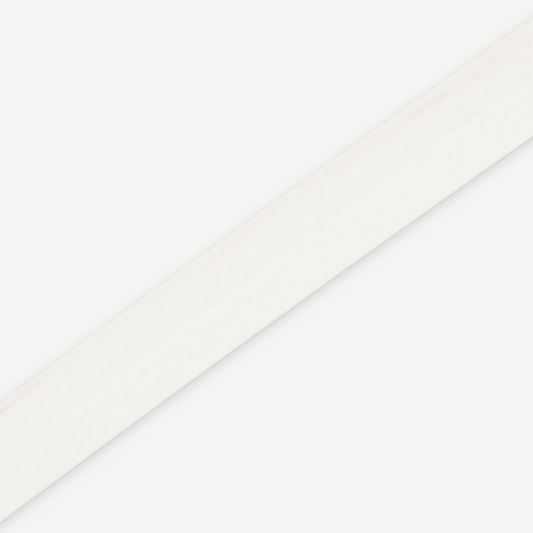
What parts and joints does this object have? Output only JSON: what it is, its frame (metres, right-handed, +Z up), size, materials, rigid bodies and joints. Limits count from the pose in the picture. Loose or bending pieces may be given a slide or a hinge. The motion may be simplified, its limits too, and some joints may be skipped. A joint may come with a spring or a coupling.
{
  "type": "single-fold bias tape",
  "caption": "Flat cut length of cotton tape cut on the bias, its long sides turned under to meet beneath the middle, for binding and facing edges.",
  "frame": {"origin": "centre of the tape's underside, where it rests", "axes": "+X along the tape, +Y across it towards the fold with the press crease, +Z up out of its face"},
  "size_m": [0.1804, 0.0209, 0.0025],
  "materials": {
    "cotton": "matt undyed plain-weave cotton, pressed flat"
  },
  "bodies": {
    "root": {"tape": "cotton"}
  },
  "joints": []
}
